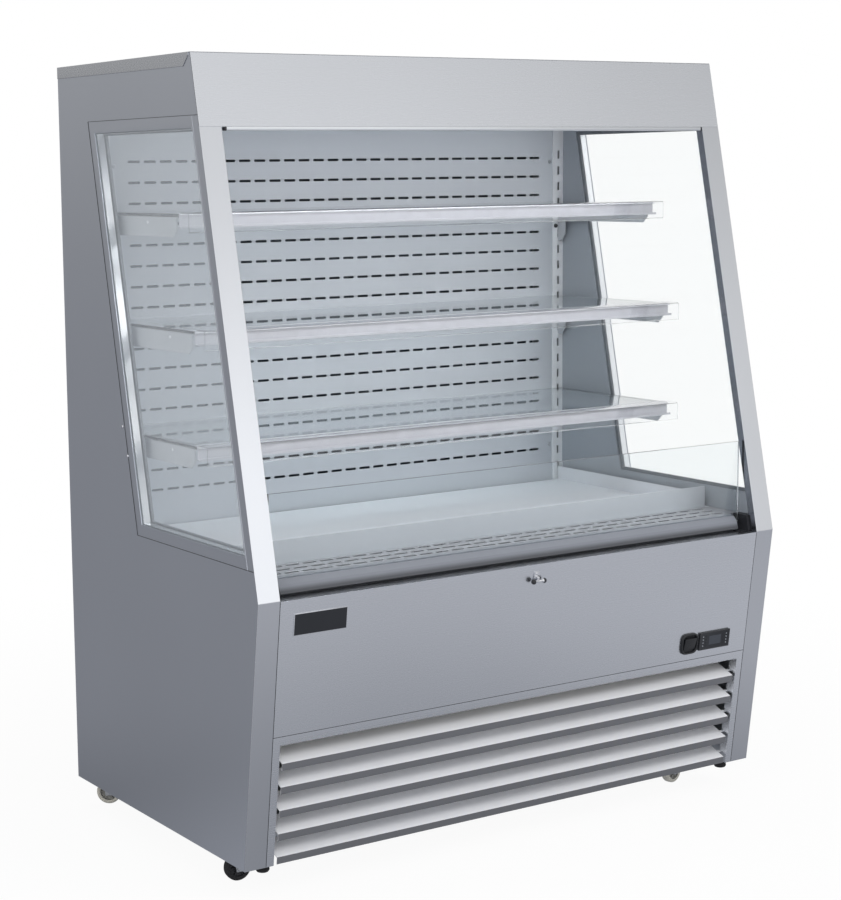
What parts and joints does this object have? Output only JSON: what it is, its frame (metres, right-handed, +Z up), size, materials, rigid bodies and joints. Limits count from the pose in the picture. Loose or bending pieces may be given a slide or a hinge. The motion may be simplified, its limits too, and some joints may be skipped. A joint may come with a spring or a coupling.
{
  "type": "open multideck display fridge",
  "caption": "Open-front refrigerated multideck display cabinet with glass shelves, side windows, a glass riser and a louvred grille.",
  "frame": {"origin": "on the floor, midway between the sides and midway between the fold in the front and the rear skin", "axes": "+Z up, the open front faces -Y, +X to the right seen from the front"},
  "size_m": [1.2, 0.7549, 1.482],
  "materials": {
    "stainless": "satin",
    "painted_white": "satin",
    "galvanised": "matt",
    "foam": "matt",
    "glass": "clear",
    "spacer_alloy": "satin",
    "seal_rubber": "matt",
    "clear_plastic": "gloss",
    "profile_alloy": "satin",
    "black_plastic": "matt",
    "polished_steel": "polished",
    "display_plastic": "gloss",
    "wheel_plastic": "satin",
    "machine_black": "gloss",
    "fin_alloy": "satin",
    "copper_pipe": "satin",
    "curtain_cloth": "woven",
    "lamp_diffuser": "satin"
  },
  "bodies": {
    "cabinet": {"side_skins": "stainless", "window_panes": "glass", "window_spacers": "spacer_alloy", "window_seals": "seal_rubber", "side_liners": "painted_white", "insulation": "foam", "cavity_liner": "painted_white", "pillars": "stainless", "fascia": "stainless", "top_cover": "stainless", "rear_skin": "galvanised", "air_panel": "painted_white", "ceiling_panel": "painted_white", "standards": "painted_white", "shelf_brackets": "painted_white", "riser_profile": "profile_alloy", "end_cheeks": "black_plastic", "front_panel": "stainless", "badge_plate": "black_plastic", "catch_hook": "polished_steel", "switch_bezel": "black_plastic", "controller": "display_plastic", "grille_frame": "stainless", "grille_blades": "stainless", "base_tray": "galvanised", "front_pads": "seal_rubber", "caster_plates": "galvanised", "air_outlet": "black_plastic", "lamp": "lamp_diffuser", "compressor": "machine_black", "condenser": "fin_alloy", "evaporator": "fin_alloy", "drain_tray": "galvanised", "electrical_box": "galvanised", "pipework": "copper_pipe"},
    "shelf_1": {"shelf_glass_1": "glass", "price_rail_1": "clear_plastic"},
    "shelf_2": {"shelf_glass_2": "glass", "price_rail_2": "clear_plastic"},
    "shelf_3": {"shelf_glass_3": "glass", "price_rail_3": "clear_plastic"},
    "deck": {"deck_pan": "painted_white"},
    "return_air": {"return_grille": "painted_white"},
    "riser": {"riser_glass": "glass"},
    "curtain_bar": {"pull_bar": "profile_alloy", "curtain": "curtain_cloth"},
    "curtain_roll": {"roller": "curtain_cloth"},
    "rocker": {"switch_rocker": "black_plastic"},
    "condenser_fan": {"fan_rotor": "black_plastic"},
    "evaporator_fan": {"evaporator_rotor": "black_plastic"},
    "swivel_front_left": {"caster_fork_front_left": "galvanised"},
    "wheel_front_left": {"caster_wheel_front_left": "seal_rubber"},
    "swivel_front_right": {"caster_fork_front_right": "galvanised"},
    "wheel_front_right": {"caster_wheel_front_right": "wheel_plastic"},
    "swivel_rear_left": {"caster_fork_rear_left": "galvanised"},
    "wheel_rear_left": {"caster_wheel_rear_left": "wheel_plastic"},
    "swivel_rear_right": {"caster_fork_rear_right": "galvanised"},
    "wheel_rear_right": {"caster_wheel_rear_right": "wheel_plastic"},
    "brake_front_left": {"brake_pedal_front_left": "black_plastic"},
    "brake_front_right": {"brake_pedal_front_right": "black_plastic"}
  },
  "joints": [
    {"name": "shelf_1_lift", "type": "slide", "parent": "cabinet", "child": "shelf_1", "axis": [0, 0, 1], "range_m": [0, 0.05]},
    {"name": "shelf_2_lift", "type": "slide", "parent": "cabinet", "child": "shelf_2", "axis": [0, 0, 1], "range_m": [0, 0.05]},
    {"name": "shelf_3_lift", "type": "slide", "parent": "cabinet", "child": "shelf_3", "axis": [0, 0, 1], "range_m": [0, 0.05]},
    {"name": "deck_lift", "type": "slide", "parent": "cabinet", "child": "deck", "axis": [0, 0, 1], "range_m": [0, 0.1]},
    {"name": "return_air_lift", "type": "slide", "parent": "cabinet", "child": "return_air", "axis": [0, 0, 1], "range_m": [0, 0.05]},
    {"name": "riser_lift", "type": "slide", "parent": "cabinet", "child": "riser", "axis": [0, 0, 1], "range_m": [0, 0.03]},
    {"name": "curtain_turn", "type": "hinge", "parent": "cabinet", "child": "curtain_roll", "pos_m": [0, -0.15, 1.41], "axis": [1, 0, 0], "range_deg": [0, 2160]},
    {"name": "curtain_pull", "type": "slide", "parent": "cabinet", "child": "curtain_bar", "axis": [0, -0.2204, -0.9754], "range_m": [0, 0.8294], "stiffness_N_per_m": 6, "springref_m": -1.5, "deforming": ["curtain"]},
    {"name": "rocker_press", "type": "hinge", "parent": "cabinet", "child": "rocker", "pos_m": [0.4028, -0.34218, 0.337], "axis": [1, 0, 0], "range_deg": [0, 14]},
    {"name": "condenser_fan_spin", "type": "hinge", "parent": "cabinet", "child": "condenser_fan", "pos_m": [-0.18, -0.132, 0.2], "axis": [0, 1, 0], "continuous": true},
    {"name": "evaporator_fan_spin", "type": "hinge", "parent": "cabinet", "child": "evaporator_fan", "pos_m": [0, -0.02, 0.5132], "axis": [0, 1, 0], "continuous": true},
    {"name": "swivel_front_left_turn", "type": "hinge", "parent": "cabinet", "child": "swivel_front_left", "pos_m": [-0.52, -0.19, 0.05], "axis": [0, 0, 1], "continuous": true},
    {"name": "wheel_front_left_roll", "type": "hinge", "parent": "swivel_front_left", "child": "wheel_front_left", "pos_m": [-0.54684, -0.18704, 0.025], "axis": [-0.1097, -0.994, 0], "continuous": true},
    {"name": "swivel_front_right_turn", "type": "hinge", "parent": "cabinet", "child": "swivel_front_right", "pos_m": [0.52, -0.19, 0.05], "axis": [0, 0, 1], "continuous": true},
    {"name": "wheel_front_right_roll", "type": "hinge", "parent": "swivel_front_right", "child": "wheel_front_right", "pos_m": [0.49364, -0.19584, 0.025], "axis": [0.2164, -0.9763, 0], "continuous": true},
    {"name": "swivel_rear_left_turn", "type": "hinge", "parent": "cabinet", "child": "swivel_rear_left", "pos_m": [-0.52, 0.33, 0.05], "axis": [0, 0, 1], "continuous": true},
    {"name": "wheel_rear_left_roll", "type": "hinge", "parent": "swivel_rear_left", "child": "wheel_rear_left", "pos_m": [-0.54198, 0.34568, 0.025], "axis": [-0.5807, -0.8141, 0], "continuous": true},
    {"name": "swivel_rear_right_turn", "type": "hinge", "parent": "cabinet", "child": "swivel_rear_right", "pos_m": [0.52, 0.33, 0.05], "axis": [0, 0, 1], "continuous": true},
    {"name": "wheel_rear_right_roll", "type": "hinge", "parent": "swivel_rear_right", "child": "wheel_rear_right", "pos_m": [0.49507, 0.34038, 0.025], "axis": [-0.3843, -0.9232, 0], "continuous": true},
    {"name": "brake_front_left_lift", "type": "hinge", "parent": "swivel_front_left", "child": "brake_front_left", "pos_m": [-0.54187, -0.18759, 0.0536], "axis": [0.1097, 0.994, 0], "range_deg": [0, 20]},
    {"name": "brake_front_right_lift", "type": "hinge", "parent": "swivel_front_right", "child": "brake_front_right", "pos_m": [0.49852, -0.19476, 0.0536], "axis": [-0.2164, 0.9763, 0], "range_deg": [0, 20]}
  ],
  "couplings": [
    {"joint": "curtain_pull", "follows": "curtain_turn", "m_per_rad": 0.022}
  ]
}
